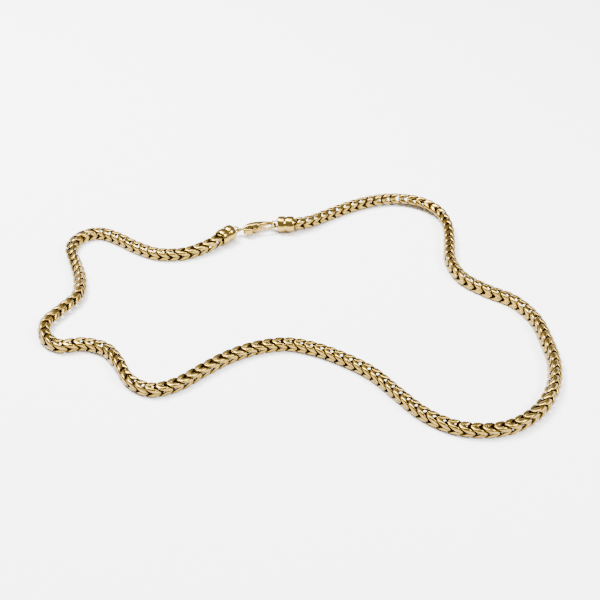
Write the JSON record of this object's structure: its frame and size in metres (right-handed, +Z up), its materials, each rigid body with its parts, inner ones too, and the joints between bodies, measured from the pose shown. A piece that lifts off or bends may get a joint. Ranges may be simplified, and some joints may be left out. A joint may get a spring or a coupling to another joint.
{
  "type": "franco chain necklace",
  "caption": "Square woven neck chain of interlocked folded links with turned end caps, a jump ring and a claw clasp with a sprung lever, closed and lying flat.",
  "frame": {"origin": "middle of the closed loop's outline, at the surface that it lies on", "axes": "+Z up from the surface, +X along the loop's longest way, +Y towards the clasp's side"},
  "size_m": [0.185, 0.1351, 0.0066],
  "materials": {
    "chain_gold": "polished yellow gold alloy, flattened faces",
    "cap_gold": "turned and polished yellow gold alloy",
    "clasp_gold": "cast and polished yellow gold alloy"
  },
  "bodies": {
    "necklace": {"chain_left": "chain_gold", "chain_right": "chain_gold", "end_cap_left": "cap_gold", "end_cap_right": "cap_gold", "jump_ring": "clasp_gold", "clasp_body": "clasp_gold"},
    "lever": {"clasp_lever": "clasp_gold"}
  },
  "joints": [
    {"name": "lever_hinge", "type": "hinge", "parent": "necklace", "child": "lever", "pos_m": [-0.01571, 0.04277, 0.0029], "axis": [0, 0, 1], "range_deg": [0, 20], "stiffness_Nm_per_rad": 0.004}
  ]
}
